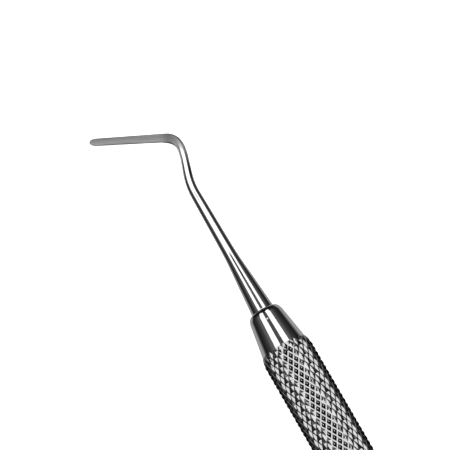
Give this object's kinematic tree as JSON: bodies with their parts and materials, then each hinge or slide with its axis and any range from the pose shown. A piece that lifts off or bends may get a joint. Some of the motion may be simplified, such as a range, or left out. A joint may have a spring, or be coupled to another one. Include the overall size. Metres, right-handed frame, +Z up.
{
  "type": "dental hand instrument",
  "caption": "Double-ended dental hand instrument in stainless steel, with a knurled tube handle, pinned cone ferrules and bent flat blades lying in one plane.",
  "frame": {"origin": "on the table under the instrument, at the centre of its bounding box seen from above", "axes": "+X along the handle axis towards the rear end, -Y towards the side both blades turn to, +Z up from the table; the instrument lies on its handle and both blade tips"},
  "size_m": [0.1744, 0.0137, 0.008],
  "materials": {
    "handle": "satin, diamond knurled",
    "ferrule": "mirror polished stainless steel",
    "braze": "silver brazing alloy",
    "working_end": "polished shank, satin ground blade",
    "lock_pin": "satin, ground flush"
  },
  "bodies": {
    "root": {"handle_tube": "handle", "front_ferrule": "ferrule", "rear_ferrule": "ferrule", "front_braze_ring": "braze", "rear_braze_ring": "braze", "front_working_end": "working_end", "rear_working_end": "working_end", "front_lock_pin": "lock_pin", "rear_lock_pin": "lock_pin"}
  },
  "joints": []
}
